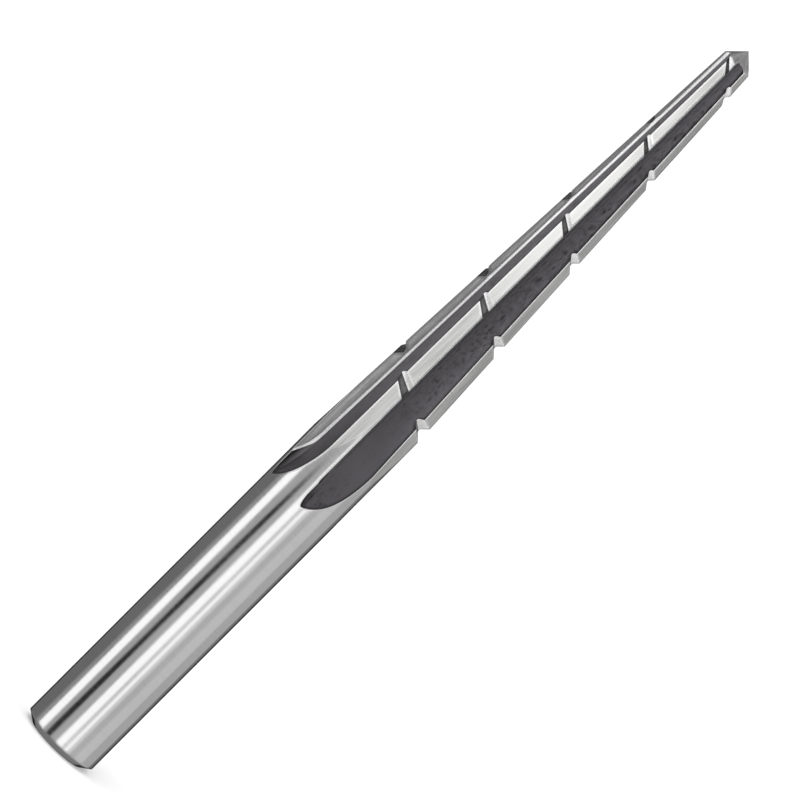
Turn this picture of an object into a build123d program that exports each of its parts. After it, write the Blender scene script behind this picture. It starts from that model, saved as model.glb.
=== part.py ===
from build123d import *
from math import acos, atan, cos, degrees, pi, radians, sin, sqrt, tan
import os

# Die maker reamer: one piece of hardened tool steel, in millimetres.
# It stands on the flat end of its shank. +Z runs along the axis to the point, and the
# origin is the centre of the end face.

# Shank
shank_dia = 12.7
overall_length = 144.5
end_chamfer_height = 1.06
end_chamfer_width = 1.45

# Taper and point
tip_dia = 5.2
taper_length = 72.5
point_angle = 90.0

# Teeth, which follow the first cutting edge counter-clockwise. The last one faces -Y, and
# the space between it and the first is wider than the others, to keep the reamer from
# chattering.
tooth_count = 5
first_edge_angle = -7.25
wide_space = 82.0
land_relief_angle = 21.0
point_relief_angle = 16.0

# Flutes. Their depth is below the cutting edge, where the taper starts and at its small end.
# The cutter's flat side runs just before the cutting face, its round edge leaves the root,
# and its hollow side the bulging back of the next tooth. The flute in the wide space is cut
# with a rounder cutter, so that it reaches further round.
flute_depth_back = 2.02
flute_depth_tip = 0.68
flute_root_radius = 0.7
flute_back_radius = 25.0
wide_flute_back_radius = 11.8
full_flute_length = 83.4
flute_cutter_dia = 70.0

# Cutting faces. A small wheel grinds off the stock that the cutter leaves on them. It stops
# at the same height, so its run-out is shorter than the flute's.
face_stock = 0.12
face_wheel_dia = 22.0
face_wheel_width = 0.45
face_corner_radius = 0.4

# Chip breakers: straight notches across the lands, deepest at the cutting edge. They follow
# one left-hand spiral, which turns with the same lead all the way to the point.
breaker_lead = 16.55
breaker_start = 1.36
breaker_end_gap = 1.0
breaker_depth_back = 1.12
breaker_depth_tip = 0.42
breaker_relief_angle = 13.5
breaker_angle = 80.0
breaker_root_radius = 0.32

# How far a cutting shape stands out of the steel
clear = 0.6

shank_radius = shank_dia / 2
tip_radius = tip_dia / 2
point_height = tip_radius / tan(radians(point_angle / 2))
corner_height = overall_length - point_height
taper_height = corner_height - taper_length
taper_slope = (shank_radius - tip_radius) / taper_length
close_space = (360 - wide_space) / (tooth_count - 1)
edge_angles = [first_edge_angle + tooth * close_space for tooth in range(tooth_count)]

root_radius_back = shank_radius - flute_depth_back
root_slope = (root_radius_back - (tip_radius - flute_depth_tip)) / taper_length
stop_height = overall_length - full_flute_length
stop_radius = root_radius_back + root_slope * (taper_height - stop_height)
cut_top = shank_radius - stop_radius + clear


def edge_radius(height):
    """Distance of a cutting edge from the axis, on the taper and its extension."""
    return shank_radius - taper_slope * (height - taper_height)


def outward(angle):
    """Level direction away from the axis at a polar angle in degrees."""
    return Vector(cos(radians(angle)), sin(radians(angle)), 0)


def along(first, second, share):
    """Value at a share of the way from the start of the taper to its small end."""
    return first + (second - first) * share


def taper_share(height):
    """Share of the taper that lies below a height."""
    return (height - taper_height) / taper_length


def blank():
    """The turned and ground blank: chamfered shank, taper and point."""
    outline = Polyline(
        (0, 0),
        (shank_radius - end_chamfer_width, 0),
        (shank_radius, end_chamfer_height),
        (shank_radius, taper_height),
        (tip_radius, corner_height),
        (0, overall_length),
        close=True,
    )
    return revolve(Plane.XZ * make_face(outline), Axis.Z)


def relief_plane(edge_point, edge_angle, relief, edge_slope):
    """The relieved face behind one straight cutting edge. Its x runs level over the edge.

    edge_slope is how much the edge nears the axis for each millimetre of height.
    """
    level = outward(edge_angle - relief)
    normal = level + Vector(0, 0, edge_slope * cos(radians(relief)))
    return Plane(origin=edge_point, x_dir=Vector(0, 0, 1).cross(level), z_dir=normal)


def relief_block(face):
    """A block whose floor is a relieved face, to cut the steel away down to it."""
    side = 2 * overall_length
    return face * Box(side, side, shank_dia, align=(Align.CENTER, Align.CENTER, Align.MIN))


def land_plane(edge_angle, height, relief):
    """A plane over a tooth, with its origin on the cutting edge at a height."""
    edge_point = outward(edge_angle) * edge_radius(height) + Vector(0, 0, height)
    return relief_plane(edge_point, edge_angle, relief, taper_slope)


def land_relief(edge_angle):
    """What is ground off behind the cutting edge along the taper, back to the heel."""
    return relief_block(land_plane(edge_angle, taper_height, land_relief_angle))


def point_relief(edge_angle):
    """What is ground off behind the slanting edge at the point."""
    apex = Vector(0, 0, overall_length)
    edge_slope = tan(radians(point_angle / 2))
    return relief_block(relief_plane(apex, edge_angle, point_relief_angle, edge_slope))


def wheel_pass(edge_angle, outline, wheel_dia):
    """What a wheel of this outline cuts along a flute's root, with its round run-out.

    The outline's x is the height above the root, and its y the distance before the edge.
    """
    radial = outward(edge_angle)
    front = Vector(0, 0, 1).cross(radial)
    tilt = atan(root_slope)
    travel = Vector(0, 0, cos(tilt)) - radial * sin(tilt)
    lift = radial * cos(tilt) + Vector(0, 0, sin(tilt))
    stop = radial * stop_radius + Vector(0, 0, stop_height)
    section = Plane(origin=stop, x_dir=lift, z_dir=travel) * make_face(outline)

    wheel_radius = wheel_dia / 2
    wheel_axis = Axis(stop + lift * wheel_radius, front * -1)
    run_out = degrees(acos(1 - cut_top / wheel_radius))
    straight = extrude(section, amount=2 * full_flute_length, dir=travel)
    return straight + revolve(section, wheel_axis, run_out)


def flute(edge_angle, back_radius):
    """The milled flute before one cutting edge."""
    reach = shank_radius * sin(radians(close_space)) - flute_root_radius
    back_drop = back_radius - sqrt(back_radius**2 - reach**2)
    side_end = (flute_root_radius, face_stock)
    root_end = (0, face_stock + flute_root_radius)
    back_end = (-back_drop, face_stock + flute_root_radius + reach)
    outline = Curve() + [
        Line((cut_top, face_stock), side_end),
        RadiusArc(side_end, root_end, flute_root_radius),
        RadiusArc(root_end, back_end, -back_radius),
        Line(back_end, (cut_top, back_end[1])),
        Line((cut_top, back_end[1]), (cut_top, face_stock)),
    ]
    return wheel_pass(edge_angle, outline, flute_cutter_dia)


def cutting_face(edge_angle):
    """The ground cutting face, with the round corner that its wheel leaves at the root."""
    face_end = (face_corner_radius, 0)
    corner_end = (0, face_corner_radius)
    outline = Curve() + [
        Line((cut_top, 0), face_end),
        RadiusArc(face_end, corner_end, face_corner_radius),
        Line(corner_end, (0, face_wheel_width)),
        Line((0, face_wheel_width), (cut_top, face_wheel_width)),
        Line((cut_top, face_wheel_width), (cut_top, 0)),
    ]
    return wheel_pass(edge_angle, outline, face_wheel_dia)


def breaker(edge_angle, height):
    """One notch across a tooth, where the spiral meets its edge at a height."""
    depth = along(breaker_depth_back, breaker_depth_tip, taper_share(height))
    slant = atan(breaker_lead / (2 * pi * edge_radius(height)))
    land = land_plane(edge_angle, height, breaker_relief_angle)
    course = land.x_dir * cos(slant) - land.y_dir * sin(slant)

    half_angle = radians(breaker_angle / 2)
    apex = -depth - breaker_root_radius * (1 / sin(half_angle) - 1)
    half_width = (clear - apex) * tan(half_angle)
    vee = make_face(Polyline((0, apex), (half_width, clear), (-half_width, clear), close=True))
    vee = fillet(vee.vertices().sort_by(Axis.Y)[0], breaker_root_radius)
    across = land.z_dir.cross(course)
    section = Plane(origin=land.origin, x_dir=across, z_dir=across.cross(land.z_dir)) * vee
    return extrude(section, amount=shank_radius, both=True)


def breaker_heights(edge_angle):
    """Where the spiral crosses one cutting edge. It starts at the first tooth."""
    turned = (edge_angles[0] - edge_angle) % 360
    height = taper_height + breaker_start + breaker_lead * turned / 360
    while height < corner_height - breaker_end_gap:
        yield height
        height += breaker_lead


def reamer():
    body = blank()
    for edge_angle in edge_angles:
        body -= land_relief(edge_angle)
        body -= point_relief(edge_angle)
    for edge_angle in edge_angles[:-1]:
        body -= flute(edge_angle, flute_back_radius)
    body -= flute(edge_angles[-1], wide_flute_back_radius)
    for edge_angle in edge_angles:
        body -= cutting_face(edge_angle)
    for edge_angle in edge_angles:
        for height in breaker_heights(edge_angle):
            body -= breaker(edge_angle, height)
    return body


os.makedirs("parts", exist_ok=True)
export_step(reamer(), "parts/reamer.step")
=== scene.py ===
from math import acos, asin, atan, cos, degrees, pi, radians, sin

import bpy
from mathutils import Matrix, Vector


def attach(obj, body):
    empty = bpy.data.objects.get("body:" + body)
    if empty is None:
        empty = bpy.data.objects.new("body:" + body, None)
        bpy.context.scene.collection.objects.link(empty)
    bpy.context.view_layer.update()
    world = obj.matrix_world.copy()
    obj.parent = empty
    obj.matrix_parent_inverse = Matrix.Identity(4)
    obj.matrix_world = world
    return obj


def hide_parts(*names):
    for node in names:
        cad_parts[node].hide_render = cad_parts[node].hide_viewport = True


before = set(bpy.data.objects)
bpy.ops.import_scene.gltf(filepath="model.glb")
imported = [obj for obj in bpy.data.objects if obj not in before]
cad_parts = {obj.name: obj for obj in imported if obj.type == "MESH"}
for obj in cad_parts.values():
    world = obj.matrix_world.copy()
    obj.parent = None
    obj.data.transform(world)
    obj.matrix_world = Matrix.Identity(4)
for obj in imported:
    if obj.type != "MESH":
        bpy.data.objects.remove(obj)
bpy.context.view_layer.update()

# %% [markdown]
# # A die maker's reamer
# One bar of tool steel: a round shank, then a taper with five straight flutes, a flat land
# behind each cutting edge, and small slanted notches that break the chips. It could be kept
# as the plain solid, but then one finish would cover it all. Here it is made again the way
# the workshop makes it, so that every wheel leaves its own finish on what it cuts.

MM = 0.001
scene = bpy.context.scene
scene.view_settings.view_transform = "Standard"

# %% [markdown]
# ## Camera
# The photograph looks at the tool from a little above its middle, with the point in the
# upper right corner. The tool stands upright, so the camera rolls by 45 degrees instead. A
# very long lens far away keeps the tool's sides as straight and even as they are there.

# %% Camera
look_down = radians(9.0)
frame_width = 116.65 * MM
aim = Vector((0.02, 0.0, 71.94)) * MM
right = Vector((1, 0, 0))
up = Vector((0, sin(look_down), cos(look_down)))
towards_camera = right.cross(up)

camera = bpy.data.objects.new("camera", bpy.data.cameras.new("camera"))
camera.data.lens = 1000
distance = frame_width * camera.data.lens / camera.data.sensor_width
axes = Matrix(((up + right).normalized(), (up - right).normalized(), towards_camera))
camera_place = Matrix.Translation(aim + towards_camera * distance)
camera.matrix_world = camera_place @ axes.transposed().to_4x4()
scene.collection.objects.link(camera)
scene.camera = camera
print("camera distance", round(distance, 2), "m")

# %% [markdown]
# ## Sizes
# All sizes are in millimetres, as on a workshop drawing, and each is written once. The rest
# follow: where the taper starts, how fast the cutting edges near the axis, and how far apart
# the teeth are. One space is wider than the other four, which keeps a reamer from chattering.

# %% Sizes
shank_radius = 6.35
overall_length = 144.5
end_bevel_height = 1.06
end_bevel_width = 1.45
tip_radius = 2.6
taper_length = 72.5
tooth_count = 5
first_edge = radians(-7.25)
wide_space = radians(82.0)
land_relief = radians(21.0)
point_relief = radians(16.0)

corner_height = overall_length - tip_radius
taper_height = corner_height - taper_length
taper_slope = (shank_radius - tip_radius) / taper_length
close_space = (2 * pi - wide_space) / (tooth_count - 1)
last_edge = first_edge - wide_space
print("the taper starts at", round(taper_height, 2))
print("close edges are", round(degrees(close_space), 2), "degrees apart")

# %% [markdown]
# ## Writing node trees
# A Geometry Nodes tree is a row of small machines. Placing each one by hand takes many
# lines, so a few short helpers do it: `place` adds a node and fills its inputs, `maths` and
# `vectors` calculate, `ranged` stretches one range of values to another, and `new_tree` gives
# a tree its named inputs.

# %% Node helpers
def place(tree, kind, inputs=(), **settings):
    """Adds one node, sets its options and fills its inputs from values or from outputs."""
    node = tree.nodes.new(kind)
    for option, value in settings.items():
        setattr(node, option, value)
    for key, given in dict(inputs).items():
        if isinstance(given, bpy.types.NodeSocket):
            tree.links.new(given, node.inputs[key])
        else:
            node.inputs[key].default_value = given
    return node


def maths(tree, operation, *numbers):
    return place(tree, "ShaderNodeMath", enumerate(numbers), operation=operation).outputs[0]


def vectors(tree, operation, *given):
    return place(tree, "ShaderNodeVectorMath", enumerate(given), operation=operation).outputs[0]


def scaled(tree, vector, number):
    inputs = {0: vector, "Scale": number}
    return place(tree, "ShaderNodeVectorMath", inputs, operation="SCALE").outputs[0]


def ranged(tree, value, low, high, to_low=0.0, to_high=1.0):
    ends = {"From Min": low, "From Max": high, "To Min": to_low, "To Max": to_high}
    return place(tree, "ShaderNodeMapRange", {"Value": value, **ends}).outputs["Result"]


def xyz(tree, x=0.0, y=0.0, z=0.0):
    return place(tree, "ShaderNodeCombineXYZ", enumerate((x, y, z))).outputs[0]


SOCKETS = {"number": "NodeSocketFloat", "count": "NodeSocketInt", "finish": "NodeSocketMaterial"}


def new_tree(name, **inputs):
    """A tree with one mesh output and the named inputs. Returns it and its inputs' sockets."""
    tree = bpy.data.node_groups.new(name, "GeometryNodeTree")
    tree.interface.new_socket("Mesh", in_out="OUTPUT", socket_type="NodeSocketGeometry")
    for kind, labels in inputs.items():
        for label in labels:
            tree.interface.new_socket(label, in_out="INPUT", socket_type=SOCKETS[kind])
    return tree, tree.nodes.new("NodeGroupInput").outputs

# %% [markdown]
# ## Curves and sweeps
# What a wheel takes away is its edge's outline, drawn along the path that it travels. In
# nodes that is Curve to Mesh. An outline of several lines and arcs is joined into one closed
# curve by turning it into edges, merging the ends and turning it back.

# %% Curve helpers
SAME_SPOT = 0.001


def line(tree, start, end):
    return place(tree, "GeometryNodeCurvePrimitiveLine", {"Start": start, "End": end}).outputs[0]


def arc(tree, centre, radius, start, sweep, steps):
    sizes = {"Resolution": steps, "Radius": radius, "Start Angle": start, "Sweep Angle": sweep}
    made = place(tree, "GeometryNodeCurveArc", sizes).outputs[0]
    moved_there = {"Geometry": made, "Translation": centre}
    return place(tree, "GeometryNodeTransform", moved_there).outputs[0]


def closed(tree, *curves):
    joined = tree.nodes.new("GeometryNodeJoinGeometry")
    for curve in curves:
        tree.links.new(curve, joined.inputs[0])
    edges = place(tree, "GeometryNodeCurveToMesh", {"Curve": joined.outputs[0]}).outputs[0]
    ends = {"Geometry": edges, "Distance": SAME_SPOT}
    merged = place(tree, "GeometryNodeMergeByDistance", ends).outputs[0]
    return place(tree, "GeometryNodeMeshToCurve", {"Mesh": merged}).outputs[0]


def swept(tree, path, outline, outline_x):
    """The outline along the path, with its x kept in one direction."""
    kept = {"Curve": path, "Normal": outline_x}
    path = place(tree, "GeometryNodeSetCurveNormal", kept, mode="FREE").outputs[0]
    sweep = {"Curve": path, "Profile Curve": outline, "Fill Caps": True}
    return place(tree, "GeometryNodeCurveToMesh", sweep).outputs[0]

# %% [markdown]
# ## From a tree to a plain mesh
# A tree's last nodes make its copies real and give them their finish. A part of them, marked
# before they were copied, may get another one. Then the tree runs once with this tool's
# sizes, and the result is kept as a plain mesh without its modifier.

# %% Ends of a tree
MARK = "other finish"


def marked(tree, mesh, axis, limit):
    """Marks the faces that lie further out along an axis than a limit."""
    position = tree.nodes.new("GeometryNodeInputPosition").outputs[0]
    across = place(tree, "ShaderNodeSeparateXYZ", {0: position}).outputs[axis]
    stored = {"Geometry": mesh, "Name": MARK, "Value": maths(tree, "GREATER_THAN", across, limit)}
    kind = {"data_type": "FLOAT", "domain": "FACE"}
    return place(tree, "GeometryNodeStoreNamedAttribute", stored, **kind).outputs[0]


def finish_tree(tree, copies, size):
    """Makes copies real, and gives them their finish and the marked faces the other one."""
    real = place(tree, "GeometryNodeRealizeInstances", {0: copies}).outputs[0]
    everywhere = {"Geometry": real, "Material": size["Finish"]}
    painted = place(tree, "GeometryNodeSetMaterial", everywhere).outputs[0]
    mark = place(tree, "GeometryNodeInputNamedAttribute", {"Name": MARK}, data_type="FLOAT")
    chosen = maths(tree, "GREATER_THAN", mark.outputs[0], 0.5)
    there = {"Geometry": painted, "Selection": chosen, "Material": size["Other finish"]}
    painted = place(tree, "GeometryNodeSetMaterial", there).outputs[0]
    clean = place(tree, "GeometryNodeRemoveAttribute", {"Geometry": painted, "Name": MARK})
    tree.links.new(clean.outputs[0], tree.nodes.new("NodeGroupOutput").inputs[0])

# %% Running a tree
def evaluated(carrier):
    """Turns what an object's modifiers make into its plain mesh, and removes them."""
    graph = bpy.context.evaluated_depsgraph_get()
    mesh = bpy.data.meshes.new_from_object(carrier.evaluated_get(graph), depsgraph=graph)
    carrier.modifiers.clear()
    carrier.data = mesh
    return carrier


def run_tree(name, tree, sizes):
    """Runs a tree with its inputs set by name, and returns an object with the plain mesh."""
    carrier = bpy.data.objects.new(name, bpy.data.meshes.new(name))
    scene.collection.objects.link(carrier)
    modifier = carrier.modifiers.new(name, "NODES")
    modifier.node_group = tree
    for socket in tree.interface.items_tree:
        if socket.in_out == "INPUT":
            modifier[socket.identifier] = sizes[socket.name]
    evaluated(carrier)
    print(name, len(carrier.data.polygons), "faces")
    return carrier


def round_the_teeth(tree, mesh, size):
    """One copy at each tooth: the first edge's angle, then one close space after another."""
    points = place(tree, "GeometryNodeMeshLine", {"Count": size["Teeth"], "Offset": (0, 0, 0)})
    index = tree.nodes.new("GeometryNodeInputIndex").outputs[0]
    angle = maths(tree, "MULTIPLY_ADD", index, size["Space"], size["First edge"])
    inputs = {"Points": points.outputs[0], "Instance": mesh, "Rotation": xyz(tree, z=angle)}
    return place(tree, "GeometryNodeInstanceOnPoints", inputs).outputs[0]

# %% [markdown]
# ## Grinding marks
# A grinding wheel and a milling cutter both leave fine lines the way the wheel travels:
# round the shank, and along the lands, faces and flutes. They could be one bump map, but
# lines also change how dark and how sharp a reflection is. A shader group makes the lines
# once from stretched noise, and each finish uses them with its own strength.

# %% Marks group
NOISE_LOW, NOISE_HIGH = 0.3, 0.7


def marks_group():
    """Noise stretched by a vector: fine lines, and slow clouds to make them uneven."""
    group = bpy.data.node_groups.new("wheel marks", "ShaderNodeTree")
    group.interface.new_socket("Lines per metre", in_out="INPUT", socket_type="NodeSocketVector")
    group.interface.new_socket("Clouds per metre", in_out="INPUT", socket_type="NodeSocketVector")
    group.interface.new_socket("Lines", in_out="OUTPUT", socket_type="NodeSocketFloat")
    group.interface.new_socket("Clouds", in_out="OUTPUT", socket_type="NodeSocketFloat")
    size = group.nodes.new("NodeGroupInput").outputs
    ends = group.nodes.new("NodeGroupOutput").inputs
    where = group.nodes.new("ShaderNodeTexCoord").outputs["Object"]
    for label, detail in (("Lines", 3.0), ("Clouds", 2.0)):
        stretched = vectors(group, "MULTIPLY", where, size[label + " per metre"])
        sizes = {"Vector": stretched, "Scale": 1.0, "Detail": detail}
        noise = place(group, "ShaderNodeTexNoise", sizes).outputs["Fac"]
        group.links.new(ranged(group, noise, NOISE_LOW, NOISE_HIGH), ends[label])
    return group


marks = marks_group()

# %% [markdown]
# ## Corners
# No corner of a real tool is perfectly sharp. Near a corner each finish gets a painted line of
# its own corner colour: a painted highlight on a land or the point, where the shading is also
# rounded, and painted shade beside a flute. A second group finds how near a spot is to a corner:
# there, normals averaged over a small radius differ from the face's own. That works for every
# cut, without marking any edge.

# %% Corners group
NO_CORNER, FULL_CORNER = 0.9993, 0.992


def corners_group():
    """Where the rounded normal and the own one agree less than NO_CORNER, a corner starts."""
    group = bpy.data.node_groups.new("near a corner", "ShaderNodeTree")
    group.interface.new_socket("Radius", in_out="INPUT", socket_type="NodeSocketFloat")
    group.interface.new_socket("Line", in_out="OUTPUT", socket_type="NodeSocketFloat")
    group.interface.new_socket("Normal", in_out="OUTPUT", socket_type="NodeSocketVector")
    radius = group.nodes.new("NodeGroupInput").outputs[0]
    ends = group.nodes.new("NodeGroupOutput").inputs
    rounded = place(group, "ShaderNodeBevel", {"Radius": radius}, samples=6).outputs[0]
    own = group.nodes.new("ShaderNodeNewGeometry").outputs["Normal"]
    both = enumerate((rounded, own))
    agree = place(group, "ShaderNodeVectorMath", both, operation="DOT_PRODUCT").outputs["Value"]
    group.links.new(ranged(group, agree, NO_CORNER, FULL_CORNER), ends["Line"])
    group.links.new(rounded, ends["Normal"])
    return group


near_corner = corners_group()

# %% [markdown]
# ## One steel, several finishes
# Every surface is the same bare steel, and what differs is what the wheel left and some painted
# light and shade. So one function makes every finish from a colour, a roughness, its marks and
# its painted corner lines of highlight or shade. The marks change colour and roughness a little,
# and stand out as a very low bump. Where a corner line is a painted highlight, the corner is
# also rounded in the shading. A painted dark one isn't.

# %% Metal
BRIGHT = 0.5


def mixed(tree, share, first, second):
    """A Mix node for vectors, whose sockets 0, 4 and 5 are the share and both vectors."""
    inputs = {0: share, 4: first, 5: second}
    return place(tree, "ShaderNodeMix", inputs, data_type="VECTOR").outputs[1]


def metal(name, colour, roughness, lines, clouds, uneven, depth, corner, reach=0.7 * MM,
          shade=None, metallic=1.0):
    """uneven is how much the marks change the colour, depth how deep they are, corner the colour of
    the painted highlight or shade lines along corners, reach how wide, and shade a painted shade
    pattern over the colour."""
    made = bpy.data.materials.new(name)
    made.use_nodes = True
    tree = made.node_tree
    shader = tree.nodes["Principled BSDF"]
    shader.inputs["Metallic"].default_value = metallic
    worn = place(tree, "ShaderNodeGroup", {}, node_tree=marks)
    worn.inputs["Lines per metre"].default_value = lines
    worn.inputs["Clouds per metre"].default_value = clouds
    both = maths(tree, "ADD", worn.outputs["Lines"], worn.outputs["Clouds"])
    light = maths(tree, "MULTIPLY_ADD", both, uneven, 1.0 - uneven)
    edge = place(tree, "ShaderNodeGroup", {}, node_tree=near_corner)
    edge.inputs["Radius"].default_value = reach
    painted_line_share = edge.outputs["Line"]
    if shade:
        factor, outer = shade(tree)
        light = maths(tree, "MULTIPLY", light, factor)
        painted_line_share = maths(tree, "MULTIPLY", painted_line_share, outer)
    tint = vectors(tree, "MULTIPLY", colour, xyz(tree, light, light, light))
    # Painted highlight or painted shade: near corners the colour becomes the corner colour.
    painted_corner_colour = mixed(tree, painted_line_share, tint, (corner, corner, corner))
    tree.links.new(painted_corner_colour, shader.inputs["Base Color"])
    rough = maths(tree, "MULTIPLY_ADD", both, 0.5 * roughness, 0.5 * roughness)
    tree.links.new(rough, shader.inputs["Roughness"])
    relief = {"Height": worn.outputs["Lines"], "Distance": depth, "Strength": 1.0}
    if corner > BRIGHT:
        relief["Normal"] = edge.outputs["Normal"]
    bump = place(tree, "ShaderNodeBump", relief)
    tree.links.new(bump.outputs[0], shader.inputs["Normal"])
    return made

# %% [markdown]
# ## Painted shade in the flutes
# The flutes' steel is dark, and painted shade makes a flute darkest down at its root, lighter
# towards the land, and lightened less at the run-out. The root gets nearer to the axis with the
# taper, so the pattern reads how far out a spot lies as a share of the cutting edge's distance
# there. The painted dark corner lines are only out at the lands, so the function gives back
# their place as a second value.

# %% Painted root shade
ROOT_SHARE, LAND_SHARE = 0.68, 0.93
LINES_FROM, LINES_FULL = 0.82, 0.92
ROOT_SHADE, RUN_OUT_SHADE, LAND_SHADE = 0.8, 0.9, 1.5
RUN_OUT_FROM, RUN_OUT_TO = -5 * MM, 8 * MM


def painted_root_shade(tree):
    where = tree.nodes.new("ShaderNodeTexCoord").outputs["Object"]
    level = vectors(tree, "MULTIPLY", where, (1, 1, 0))
    out = place(tree, "ShaderNodeVectorMath", {0: level}, operation="LENGTH").outputs["Value"]
    height = place(tree, "ShaderNodeSeparateXYZ", {0: where}).outputs["Z"]
    above = maths(tree, "SUBTRACT", height, taper_height * MM)
    on_taper = maths(tree, "MAXIMUM", above, 0.0)
    edge = maths(tree, "MULTIPLY_ADD", on_taper, -taper_slope, shank_radius * MM)
    share = maths(tree, "DIVIDE", out, edge)
    most = ranged(tree, above, RUN_OUT_FROM, RUN_OUT_TO, RUN_OUT_SHADE, LAND_SHADE)
    shade = ranged(tree, share, ROOT_SHARE, LAND_SHARE, ROOT_SHADE, most)
    return shade, ranged(tree, share, LINES_FROM, LINES_FULL)

# %% [markdown]
# ## The finishes of this tool
# The shank is ground to a soft mirror, the lands are bright and streaked, the point is finely
# speckled and the cutting faces are greyer. The flutes are left as milled and hardened, dull
# and dark, with painted shade deepest at their roots. A chip breaker's two walls are one steel
# painted twice: one wall painted dark as shade, and the other painted bright as lit. Marks are
# given in lines per metre along x, y and z, and depths in metres.

# %% Finishes
ROUND_AND_ROUND, ALONG, EVERY_WAY = (300, 300, 9000), (3000, 3000, 60), (4000, 4000, 4000)
CUTTER_MARKS, SPECKLED, UNEVEN = (4000, 4000, 900), (2400, 2400, 1400), (900, 900, 300)
SLOW, SLOW_ALONG = (60, 60, 90), (400, 400, 60)
POLISHED, FINE, PLAIN = 0.2e-6, 1e-6, 2e-6


def grey(level):
    return level, level, level


# Each corner value is painted along corners: a painted highlight line where brighter than the
# finish, a painted shade line where darker.
ground_shank = metal(
    "ground shank", grey(0.80), roughness=0.14, lines=ROUND_AND_ROUND, clouds=SLOW,
    uneven=0.06, depth=POLISHED, corner=0.9)
ground_land = metal(
    "ground land", (0.70, 0.70, 0.69), roughness=0.28, lines=ALONG, clouds=SLOW_ALONG,
    uneven=0.2, depth=PLAIN, corner=1.0)
ground_face = metal(
    "ground face", grey(0.58), roughness=0.25, lines=ALONG, clouds=UNEVEN,
    uneven=0.2, depth=PLAIN, corner=0.3, metallic=0.6)
ground_corner = metal(
    "ground corner", grey(0.85), roughness=0.2, lines=ALONG, clouds=SLOW_ALONG,
    uneven=0.1, depth=FINE, corner=0.9)
ground_point = metal(
    "ground point", grey(0.66), roughness=0.3, lines=SPECKLED, clouds=UNEVEN,
    uneven=0.4, depth=PLAIN, corner=1.0)
# The flute's colour gets the painted root shade, and its dark corner colour paints shade lines
# along the land heels.
milled_flute = metal(
    "milled flute", (0.20, 0.19, 0.205), roughness=0.5, lines=CUTTER_MARKS, clouds=SPECKLED,
    uneven=0.16, depth=PLAIN, corner=0.02, reach=0.9 * MM, shade=painted_root_shade)
# A notch's walls are lit and shaded copies of one steel: painted light on one, painted shade on the
# other.
painted_lit_wall = metal(
    "notch wall painted lit", (0.92, 0.92, 0.91), roughness=0.3, lines=EVERY_WAY, clouds=UNEVEN,
    uneven=0.1, depth=PLAIN, corner=0.9, metallic=0.4)
painted_shaded_wall = metal(
    "notch wall painted shaded", grey(0.22), roughness=0.4, lines=EVERY_WAY, clouds=UNEVEN,
    uneven=0.4, depth=PLAIN, corner=0.1)
print("finishes", [material.name for material in bpy.data.materials])

# %% [markdown]
# ## The turned blank
# The bar is round everywhere before it is fluted: a bevelled end, the shank, the taper and
# the point. A lathe turns one outline round the axis, and so does this short mesh code.

# %% Blank
def turned_blank(segments):
    outline = [
        (shank_radius - end_bevel_width, 0),
        (shank_radius, end_bevel_height),
        (shank_radius, taper_height),
        (tip_radius, corner_height),
    ]
    turns = [2 * pi * step / segments for step in range(segments)]
    corners = [(radius * cos(turn), radius * sin(turn), height)
               for radius, height in outline for turn in turns]
    corners += [(0, 0, overall_length)]
    faces = [tuple(range(segments - 1, -1, -1))]
    for ring in range(len(outline) - 1):
        for step in range(segments):
            near = ring * segments + step
            far = ring * segments + (step + 1) % segments
            faces.append((near, far, far + segments, near + segments))
    rim, apex = (len(outline) - 1) * segments, len(corners) - 1
    faces += [(rim + step, rim + (step + 1) % segments, apex) for step in range(segments)]
    mesh = bpy.data.meshes.new("blank")
    mesh.from_pydata(corners, [], faces)
    mesh.materials.append(ground_shank)
    return mesh


reamer = bpy.data.objects.new("reamer_body", turned_blank(segments=360))
scene.collection.objects.link(reamer)
print("blank", len(reamer.data.polygons), "faces")

# %% [markdown]
# ## Relieved lands
# Behind each cutting edge the steel falls away in one flat, so that only the edge rubs. A
# block lies with its floor on that flat, once for each tooth, and takes the steel off. The
# same tree makes the flats behind the edges of the point.

# %% Relief tree
def moved(tree, mesh, spot, x_way, z_way):
    ways = {"Primary Axis": z_way, "Secondary Axis": x_way}
    turn = place(tree, "FunctionNodeAxesToRotation", ways, primary_axis="Z", secondary_axis="X")
    spots = {"Geometry": mesh, "Translation": spot, "Rotation": turn.outputs[0]}
    return place(tree, "GeometryNodeTransform", spots).outputs[0]


def land_directions(tree, facing, relief, slope):
    """A land's outward normal, and the level direction over its edge."""
    level = xyz(tree, maths(tree, "COSINE", facing), maths(tree, "SINE", facing))
    rise = maths(tree, "MULTIPLY", slope, maths(tree, "COSINE", relief))
    normal = vectors(tree, "NORMALIZE", vectors(tree, "ADD", level, xyz(tree, z=rise)))
    return normal, vectors(tree, "CROSS_PRODUCT", (0, 0, 1), level)


def relief_tree():
    tree, size = new_tree(
        "relief blocks",
        count=["Teeth"],
        number=["First edge", "Space", "Edge radius", "Edge height", "Edge slope", "Relief",
                "Block", "Thickness"],
        finish=["Finish", "Other finish"],
    )
    facing = maths(tree, "MULTIPLY", size["Relief"], -1)
    normal, over_edge = land_directions(tree, facing, size["Relief"], size["Edge slope"])
    box = xyz(tree, size["Block"], size["Block"], size["Thickness"])
    block = place(tree, "GeometryNodeMeshCube", {"Size": box}).outputs[0]
    edge = xyz(tree, size["Edge radius"], 0, size["Edge height"])
    half = maths(tree, "MULTIPLY", size["Thickness"], 0.5)
    middle = vectors(tree, "ADD", edge, scaled(tree, normal, half))
    block = moved(tree, block, middle, over_edge, normal)
    finish_tree(tree, round_the_teeth(tree, block, size), size)
    return tree


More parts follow.
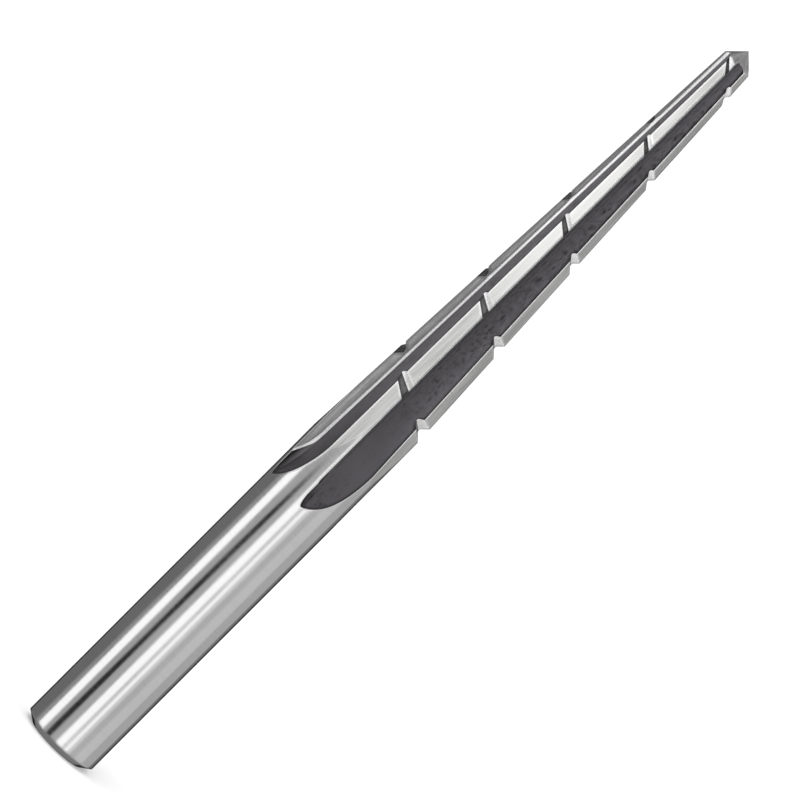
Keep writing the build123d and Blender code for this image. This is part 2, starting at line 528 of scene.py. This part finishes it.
teeth = {"Teeth": tooth_count, "First edge": first_edge, "Space": close_space}
block_sizes = {**teeth, "Block": 2 * overall_length, "Thickness": 2 * shank_radius}
along_taper = {
    **block_sizes, "Edge radius": shank_radius, "Edge height": taper_height,
    "Edge slope": taper_slope, "Relief": land_relief,
    "Finish": ground_land, "Other finish": ground_land,
}
at_point = {
    **block_sizes, "Edge radius": 0.0, "Edge height": overall_length,
    "Edge slope": 1.0, "Relief": point_relief,
    "Finish": ground_point, "Other finish": ground_point,
}
relief = relief_tree()
land_blocks = run_tree("land blocks", relief, along_taper)
point_blocks = run_tree("point blocks", relief, at_point)

# %% [markdown]
# ## Flutes and cutting faces
# A flute is the path of a milling cutter: straight along the root, and then an arc of the
# cutter's own radius, where it lifts out of the shank. A small grinding wheel takes the same
# way to sharpen the cutting face and leaves a shorter run-out. One tree makes them all: the
# four close flutes, the wide one with its rounder cutter, and the cutting faces.

# %% Wheel tree
flute_depth_back = 2.02
flute_depth_tip = 0.68
full_flute_length = 83.4
clear = 0.6
root_back = shank_radius - flute_depth_back
root_slope = (root_back - (tip_radius - flute_depth_tip)) / taper_length
stop_height = overall_length - full_flute_length
stop_radius = root_back + root_slope * (taper_height - stop_height)
cut_top = shank_radius - stop_radius + clear
CORNER_STEPS, BACK_STEPS, RUN_OUT_STEPS = 12, 40, 40


def wheel_path(tree, size):
    """A curve from beyond the point down to the stop, and round out of the steel."""
    steps = size["Steps"]
    straight = line(tree, (0, 0, 0), (1, 0, 0))
    count = {"Curve": straight, "Count": maths(tree, "ADD", steps, 2)}
    points = place(tree, "GeometryNodeResampleCurve", count).outputs[0]
    index = tree.nodes.new("GeometryNodeInputIndex").outputs[0]
    step = maths(tree, "MAXIMUM", maths(tree, "SUBTRACT", index, 1), 0)
    turn = maths(tree, "MULTIPLY", maths(tree, "DIVIDE", step, steps), size["Run-out"])
    far_end = maths(tree, "MULTIPLY", maths(tree, "LESS_THAN", index, 0.5), size["Straight"])
    back = maths(tree, "MULTIPLY", size["Wheel radius"], maths(tree, "SINE", turn))
    lift = maths(tree, "SUBTRACT", 1, maths(tree, "COSINE", turn))
    rise = maths(tree, "MULTIPLY", size["Wheel radius"], lift)
    spot = xyz(tree, maths(tree, "SUBTRACT", far_end, back), rise)
    spread = {"Geometry": points, "Position": spot}
    return place(tree, "GeometryNodeSetPosition", spread).outputs[0]


def wheel_outline(tree, size):
    """The wheel's edge: flat side, round corner and hollow back. x is how far before the
    cutting edge, and y is up."""
    stock, corner = size["Stock"], size["Corner radius"]
    back, sweep = size["Back radius"], size["Back sweep"]
    root_x = maths(tree, "ADD", stock, corner)
    root = arc(tree, xyz(tree, root_x, corner), corner, pi, pi / 2, CORNER_STEPS)
    back_start = maths(tree, "SUBTRACT", pi / 2, sweep)
    back_centre = xyz(tree, root_x, maths(tree, "MULTIPLY", back, -1))
    hollow = arc(tree, back_centre, back, back_start, sweep, BACK_STEPS)
    end_x = maths(tree, "MULTIPLY_ADD", back, maths(tree, "SINE", sweep), root_x)
    end_y = maths(tree, "MULTIPLY", back, maths(tree, "SUBTRACT", maths(tree, "COSINE", sweep), 1))
    low_back, high_back = xyz(tree, end_x, end_y), xyz(tree, end_x, size["Top"])
    low_side, high_side = xyz(tree, stock, corner), xyz(tree, stock, size["Top"])
    rest = (low_back, high_back, high_side, low_side)
    sides = [line(tree, start, end) for start, end in zip(rest, rest[1:])]
    return closed(tree, root, hollow, *sides)


def wheel_tree():
    tree, size = new_tree(
        "wheel pass",
        count=["Teeth", "Steps"],
        number=["First edge", "Space", "Stop radius", "Stop height", "Root tilt", "Straight",
                "Top", "Wheel radius", "Run-out", "Stock", "Corner radius", "Back radius",
                "Back sweep"],
        finish=["Finish", "Other finish"],
    )
    cut = swept(tree, wheel_path(tree, size), wheel_outline(tree, size), (0, 0, 1))
    cut = marked(tree, cut, "Z", maths(tree, "ADD", size["Stock"], SAME_SPOT))
    inwards = maths(tree, "MULTIPLY", maths(tree, "SINE", size["Root tilt"]), -1)
    travel = xyz(tree, inwards, 0, maths(tree, "COSINE", size["Root tilt"]))
    stop = xyz(tree, size["Stop radius"], 0, size["Stop height"])
    cut = moved(tree, cut, stop, travel, (0, 1, 0))
    finish_tree(tree, round_the_teeth(tree, cut, size), size)
    return tree

# %% [markdown]
# ## Choosing the wheels
# The flute cutter is large, so that its run-out is long, and leaves a little stock on the
# cutting face. The small wheel takes that stock off. Before the wide space the cutter's back
# is rounder, so that it reaches further round. The wheel's flat side leaves one finish, and
# the rest of its edge the other.

# %% Wheels
def wheel(places, radius, stock, corner, back, reach, flat_side, rest):
    """A wheel's sizes. reach is the width of its hollow back."""
    return {
        **places, "Steps": RUN_OUT_STEPS, "Stop radius": stop_radius,
        "Stop height": stop_height, "Root tilt": atan(root_slope),
        "Straight": 1.2 * full_flute_length, "Top": cut_top, "Wheel radius": radius,
        "Run-out": acos(1 - cut_top / radius), "Stock": stock, "Corner radius": corner,
        "Back radius": back, "Back sweep": asin(reach / back),
        "Finish": flat_side, "Other finish": rest,
    }


passes = wheel_tree()
flute_corner = 0.7
flute_reach = shank_radius * sin(close_space) - flute_corner
cutter = {
    "radius": 35.0, "stock": 0.12, "corner": flute_corner, "reach": flute_reach,
    "flat_side": milled_flute, "rest": milled_flute,
}
sharpener = {
    "radius": 11.0, "stock": 0.0, "corner": 0.4, "back": 50.0, "reach": 0.05,
    "flat_side": ground_face,
}
in_close_spaces = {**teeth, "Teeth": tooth_count - 1}
in_wide_space = {**teeth, "Teeth": 1, "First edge": last_edge}
close_cutter = wheel(in_close_spaces, back=25.0, **cutter)
wide_cutter = wheel(in_wide_space, back=11.8, **cutter)
close_wheel = wheel(in_close_spaces, rest=ground_corner, **sharpener)
wide_wheel = wheel(in_wide_space, rest=milled_flute, **sharpener)
close_flutes = run_tree("close flutes", passes, close_cutter)
wide_flute = run_tree("wide flute", passes, wide_cutter)
close_faces = run_tree("close faces", passes, close_wheel)
wide_face = run_tree("wide face", passes, wide_wheel)

# %% [markdown]
# ## Chip breakers
# Small notches cross the lands on one left-hand spiral, so no two teeth have them at the
# same height, and a long chip can't form. Each is the same straight cut with a rounded
# bottom, so the cut is made once, as a short sweep along its own z.

# %% One breaker
BOTTOM_STEPS = 8


def breaker_cut(tree, size):
    """The cut, with the bottom of its V at the origin and the wall on the x side marked."""
    half, root, top = size["Half angle"], size["Root radius"], size["Wall"]
    bottom_sweep = maths(tree, "SUBTRACT", pi, maths(tree, "MULTIPLY", half, 2))
    bottom_start = maths(tree, "ADD", half, pi)
    bottom = arc(tree, xyz(tree, 0, root), root, bottom_start, bottom_sweep, BOTTOM_STEPS)
    foot_x = maths(tree, "MULTIPLY", root, maths(tree, "COSINE", half))
    foot_drop = maths(tree, "MULTIPLY", root, maths(tree, "SINE", half))
    foot_y = maths(tree, "SUBTRACT", root, foot_drop)
    above_foot = maths(tree, "SUBTRACT", top, foot_y)
    top_x = maths(tree, "MULTIPLY_ADD", above_foot, maths(tree, "TANGENT", half), foot_x)
    right_foot, right_top = xyz(tree, foot_x, foot_y), xyz(tree, top_x, top)
    left_foot = vectors(tree, "MULTIPLY", right_foot, (-1, 1, 1))
    left_top = vectors(tree, "MULTIPLY", right_top, (-1, 1, 1))
    rest = (right_foot, right_top, left_top, left_foot)
    walls = [line(tree, start, end) for start, end in zip(rest, rest[1:])]
    reach = xyz(tree, z=size["Reach"])
    path = line(tree, scaled(tree, reach, -1), reach)
    cut = swept(tree, path, closed(tree, bottom, *walls), (1, 0, 0))
    return marked(tree, cut, "X", 0.0)

# %% [markdown]
# ## The spiral
# The notches are numbered from the shank to the point. A notch's number says how far round
# the spiral has turned, that gives its height, and the height gives the edge's distance from
# the axis, the notch's depth and how slanted it is.

# %% Spiral
def breaker_places(tree, size):
    """Where each notch sits, and how it is turned: z along the notch, y out of the land."""
    index = tree.nodes.new("GeometryNodeInputIndex").outputs[0]
    rounded_up = maths(tree, "SUBTRACT", maths(tree, "ADD", index, size["Teeth"]), 1)
    laps = maths(tree, "FLOOR", maths(tree, "DIVIDE", rounded_up, size["Teeth"]))
    extra = maths(tree, "SUBTRACT", size["Wide space"], size["Space"])
    turned = maths(tree, "MULTIPLY_ADD", index, size["Space"], maths(tree, "MULTIPLY", laps, extra))
    climb = maths(tree, "DIVIDE", size["Lead"], 2 * pi)
    height = maths(tree, "MULTIPLY_ADD", turned, climb, size["Start"])
    above = maths(tree, "SUBTRACT", height, size["Taper height"])
    nearer = maths(tree, "MULTIPLY", above, size["Taper slope"])
    radius = maths(tree, "SUBTRACT", size["Shank radius"], nearer)
    share = maths(tree, "DIVIDE", above, size["Taper length"])
    shallower = maths(tree, "SUBTRACT", size["Depth at tip"], size["Depth at back"])
    depth = maths(tree, "MULTIPLY_ADD", share, shallower, size["Depth at back"])

    angle = maths(tree, "SUBTRACT", size["First edge"], turned)
    radial = xyz(tree, maths(tree, "COSINE", angle), maths(tree, "SINE", angle))
    edge = vectors(tree, "ADD", scaled(tree, radial, radius), xyz(tree, z=height))
    facing = maths(tree, "SUBTRACT", angle, size["Relief"])
    normal, over_edge = land_directions(tree, facing, size["Relief"], size["Taper slope"])
    slant = maths(tree, "ARCTAN2", size["Lead"], maths(tree, "MULTIPLY", radius, 2 * pi))
    up_the_land = vectors(tree, "CROSS_PRODUCT", normal, over_edge)
    level_part = scaled(tree, over_edge, maths(tree, "COSINE", slant))
    steep_part = scaled(tree, up_the_land, maths(tree, "SINE", slant))
    course = vectors(tree, "SUBTRACT", level_part, steep_part)
    ways = {"Primary Axis": course, "Secondary Axis": normal}
    turn = place(tree, "FunctionNodeAxesToRotation", ways, primary_axis="Z", secondary_axis="Y")
    return vectors(tree, "SUBTRACT", edge, scaled(tree, normal, depth)), turn.outputs[0]

# %% Breaker tree
def breaker_tree():
    tree, size = new_tree(
        "chip breakers",
        count=["Count", "Teeth"],
        number=["First edge", "Space", "Wide space", "Lead", "Start", "Taper height",
                "Taper length", "Taper slope", "Shank radius", "Depth at back", "Depth at tip",
                "Relief", "Half angle", "Root radius", "Reach", "Wall"],
        finish=["Finish", "Other finish"],
    )
    spot, turn = breaker_places(tree, size)
    row = {"Count": size["Count"], "Offset": (0, 0, 0)}
    points = place(tree, "GeometryNodeMeshLine", row).outputs[0]
    spread = {"Geometry": points, "Position": spot}
    points = place(tree, "GeometryNodeSetPosition", spread).outputs[0]
    copies = {"Points": points, "Instance": breaker_cut(tree, size), "Rotation": turn}
    cuts = place(tree, "GeometryNodeInstanceOnPoints", copies).outputs[0]
    finish_tree(tree, cuts, size)
    return tree

# %% Breakers
breaker_lead = 16.55
breaker_start = taper_height + 1.36
breaker_end = corner_height - 1.0


def breaker_height(index):
    """Where a notch crosses its edge. The spiral's first space is the wide one."""
    wide_spaces = (index + tooth_count - 1) // tooth_count
    turned = index * close_space + wide_spaces * (wide_space - close_space)
    return breaker_start + breaker_lead * turned / (2 * pi)


breaker_count = 0
while breaker_height(breaker_count) < breaker_end:
    breaker_count += 1
breaker_sizes = {
    **teeth, "Count": breaker_count, "Wide space": wide_space, "Lead": breaker_lead,
    "Start": breaker_start, "Taper height": taper_height, "Taper length": taper_length,
    "Taper slope": taper_slope, "Shank radius": shank_radius, "Depth at back": 1.12,
    "Depth at tip": 0.42, "Relief": radians(13.5), "Half angle": radians(43.0),
    "Root radius": 0.45, "Reach": shank_radius, "Wall": 2.0,
    # The unmarked wall gets painted shade, the marked one painted light.
    "Finish": painted_shaded_wall, "Other finish": painted_lit_wall,
}
breaker_cuts = run_tree("breaker cuts", breaker_tree(), breaker_sizes)
print("breakers", breaker_count)

# %% [markdown]
# ## Cutting the steel
# Every cut is subtracted from the blank in the order of the workshop: lands, point, flutes,
# cutting faces, chip breakers. The exact Boolean hands each cut's finish on to the new
# surface. Copies that overlap one another need its self-intersection option.

# %% Cutting
overlapping = (land_blocks, point_blocks, close_flutes)
for cut in (*overlapping, wide_flute, close_faces, wide_face, breaker_cuts):
    modifier = reamer.modifiers.new(cut.name, "BOOLEAN")
    modifier.object = cut
    modifier.solver = "EXACT"
    modifier.use_self = cut in overlapping
    modifier.material_mode = "TRANSFER"
    evaluated(reamer)
    print("after", cut.name, len(reamer.data.polygons), "faces")
    bpy.data.objects.remove(cut)

# %% [markdown]
# ## Crisp edges
# Each wheel leaves a crisp corner where its cut meets the next. An edge is marked sharp
# where two finishes meet or where the surface turns by more than a few degrees. The
# millimetres become metres in the mesh itself, so the object stays unscaled.

# %% Edges
def mark_sharp(mesh, fine, coarse):
    """Marks edges between finishes, and edges that turn more than a limit inside one. The
    fine limit holds on ground steel, whose surfaces are nearly flat, and coarse elsewhere."""
    sides = {}
    for face in mesh.polygons:
        for key in face.edge_keys:
            sides.setdefault(key, []).append(face)
    ground = (ground_shank, ground_land, ground_point)
    flat = {mesh.materials.find(material.name) for material in ground}
    count = 0
    for edge in mesh.edges:
        one, other = sides[edge.key][0], sides[edge.key][-1]
        limit = fine if one.material_index in flat else coarse
        turns = one.normal.angle(other.normal, 0) > limit
        edge.use_edge_sharp = turns or one.material_index != other.material_index
        count += edge.use_edge_sharp
    return count


reamer.data.shade_smooth()
sharp = mark_sharp(reamer.data, fine=radians(2), coarse=radians(16))
print("sharp edges", sharp, "of", len(reamer.data.edges))
reamer.data.transform(Matrix.Scale(MM, 4))
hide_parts("reamer")
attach(reamer, "root")

# %% [markdown]
# ## Studio
# The tool stands on a pale floor in a white room. The floor glows a little for the camera
# alone, which makes it white there without adding light to the tool, and it still shows the
# tool's shadow. Reflections don't see it, so that it doesn't whiten the foot of the shank.

# %% Floor
FLOOR_REACH = 3.0
FLOOR_GLOW = 0.15
floor_corners = [(-1, -1), (1, -1), (1, 1), (-1, 1)]
floor_mesh = bpy.data.meshes.new("floor")
floor_mesh.from_pydata(
    [(FLOOR_REACH * x, FLOOR_REACH * y, 0) for x, y in floor_corners], [], [(0, 1, 2, 3)])
floor = bpy.data.objects.new("floor", floor_mesh)
scene.collection.objects.link(floor)
pale = bpy.data.materials.new("pale floor")
pale.use_nodes = True
floor_mesh.materials.append(pale)
shader = pale.node_tree.nodes["Principled BSDF"]
shader.inputs["Base Color"].default_value = (*grey(0.9), 1)
shader.inputs["Roughness"].default_value = 0.9
shader.inputs["Emission Color"].default_value = (*grey(1), 1)
rays = pale.node_tree.nodes.new("ShaderNodeLightPath")
glow = maths(pale.node_tree, "MULTIPLY", rays.outputs["Is Camera Ray"], FLOOR_GLOW)
pale.node_tree.links.new(glow, shader.inputs["Emission Strength"])
floor.visible_glossy = False

# %% Air
air = bpy.data.worlds.new("studio air")
scene.world = air
air.use_nodes = True
background = air.node_tree.nodes["Background"]
background.inputs["Color"].default_value = (*grey(1), 1)
background.inputs["Strength"].default_value = 1.0

# %% [markdown]
# ## Cards
# Polished steel has no look of its own: it shows what stands round it. Here that is a ring of
# cards, as a photographer sets them, light ones for the streaks along the tool and dark ones
# for the lines between. Each band starts at a bearing in degrees, with 0 towards the camera,
# and has a brightness. Both may be one number or one for each height of the ring. Only
# reflections see the cards, so they put no light on the floor and cast no shadow.

# %% Card paper
card_paper = bpy.data.materials.new("card paper")
card_paper.use_nodes = True
tree = card_paper.node_tree
tree.nodes.clear()
glow = place(tree, "ShaderNodeAttribute", {}, attribute_name="glow").outputs["Fac"]
lit = place(tree, "ShaderNodeEmission", {"Strength": glow})
tree.links.new(lit.outputs[0], place(tree, "ShaderNodeOutputMaterial").inputs["Surface"])

# %% Card shapes
CARD_RADIUS = 60.0
CARD_STEP = 6
DISC_STEP = 10


def card_object(name, corners, faces, glows):
    mesh = bpy.data.meshes.new(name)
    mesh.from_pydata(corners, [], faces)
    mesh.attributes.new("glow", "FLOAT", "POINT").data.foreach_set("value", glows)
    mesh.transform(Matrix.Scale(MM, 4))
    mesh.materials.append(card_paper)
    card = bpy.data.objects.new(name, mesh)
    scene.collection.objects.link(card)
    for ray in ("camera", "diffuse", "transmission", "shadow", "volume_scatter"):
        setattr(card, "visible_" + ray, False)
    print(name, len(faces), "faces")


def at_heights(given, heights):
    return given if isinstance(given, tuple) else [given] * len(heights)


def cards(name, bands, heights):
    """Curved cards that close round the tool."""
    corners, faces, glows = [], [], []
    for (start, level), (end, _) in zip(bands, bands[1:] + [(180, 0)]):
        starts, ends = at_heights(start, heights), at_heights(end, heights)
        levels = at_heights(level, heights)
        steps = max(1, round((ends[0] - starts[0]) / CARD_STEP))
        first = len(corners)
        for step in range(steps + 1):
            for height, low, high, glow in zip(heights, starts, ends, levels):
                bearing = radians(low + (high - low) * step / steps)
                across, away = CARD_RADIUS * sin(bearing), -CARD_RADIUS * cos(bearing)
                corners.append((across, away, height))
                glows.append(glow)
        for column in range(steps):
            for row in range(len(heights) - 1):
                near = first + column * len(heights) + row
                far = near + len(heights)
                faces.append((near, far, far + 1, near + 1))
    card_object(name, corners, faces, glows)


def disc(name, height, level):
    """A round card above or below the tool."""
    turns = [radians(turn) for turn in range(0, 360, DISC_STEP)]
    corners = [(CARD_RADIUS * cos(turn), CARD_RADIUS * sin(turn), height) for turn in turns]
    card_object(name, corners, [tuple(range(len(corners)))], [level] * len(corners))

# %% [markdown]
# ## Setting the cards
# The shank shows one ring and the taper another. On the shank one dark card leans, and it
# fades to grey where the flutes begin. A canopy and a base close the room, because tilted
# faces and the bevel look up and down.

# %% Cards
SHANK_HEIGHTS = (-40, -6, 10, 22, 32, 44, 50, 58)
DARK_STARTS = (-40, -40, -36.5, -36, -35, -30.5, -28, -27)
DARK_LEVELS = (0.03, 0.03, 0.03, 0.03, 0.04, 0.04, 0.40, 0.44)
DARK_ENDS = (-24, -24, -23.5, -22.5, -21, -19.5, -18, -18)
SHANK_CARDS = [
    (-180, 0.0), (-146, 0.16), (-90, 0.30), (-75, 1.20), (-53, 0.41),
    (DARK_STARTS, DARK_LEVELS), (DARK_ENDS, 0.44), (-4, 1.20), (15, 0.68), (24, 1.15),
    (33, 0.72), (42, 0.50), (60, 0.60), (90, 0.44), (128, 0.18), (145, 0.02),
]
TAPER_HEIGHTS = (58, 88, 98, 116, 124, 190)
LAND_LEVELS = (0.75, 0.75, 1.3, 1.3, 0.95, 0.95)
TAPER_CARDS = [
    (-180, 0.25), (-150, 0.12), (-110, 0.40), (-95, 1.2), (-62, LAND_LEVELS), (-20, 1.2),
    (-5, 0.03), (28, 0.55), (60, 0.20), (72, 1.2), (102, 0.40), (140, 0.25),
]
cards("shank_cards", SHANK_CARDS, SHANK_HEIGHTS)
cards("taper_cards", TAPER_CARDS, TAPER_HEIGHTS)
disc("canopy", TAPER_HEIGHTS[-1], 0.28)
disc("base_card", SHANK_HEIGHTS[0], 0.20)

# %% [markdown]
# ## Soft light
# One large, weak lamp above the front left gives the floor its light and the shadow its
# side, and it brightens the chip breakers' walls painted lit, which scatter light.
# Reflections don't see it, because they have the cards.

# %% Lamp
tool_middle = Vector((0, 0, 0.07))
softbox = bpy.data.objects.new("softbox", bpy.data.lights.new("softbox", "AREA"))
softbox.data.energy = 4.0
softbox.data.size = 0.8
softbox.location = (-0.4, -0.6, 1.0)
shine = tool_middle - softbox.location
softbox.rotation_euler = shine.to_track_quat("-Z", "Y").to_euler()
softbox.visible_glossy = False
scene.collection.objects.link(softbox)
print("lamp", softbox.data.energy, "W")
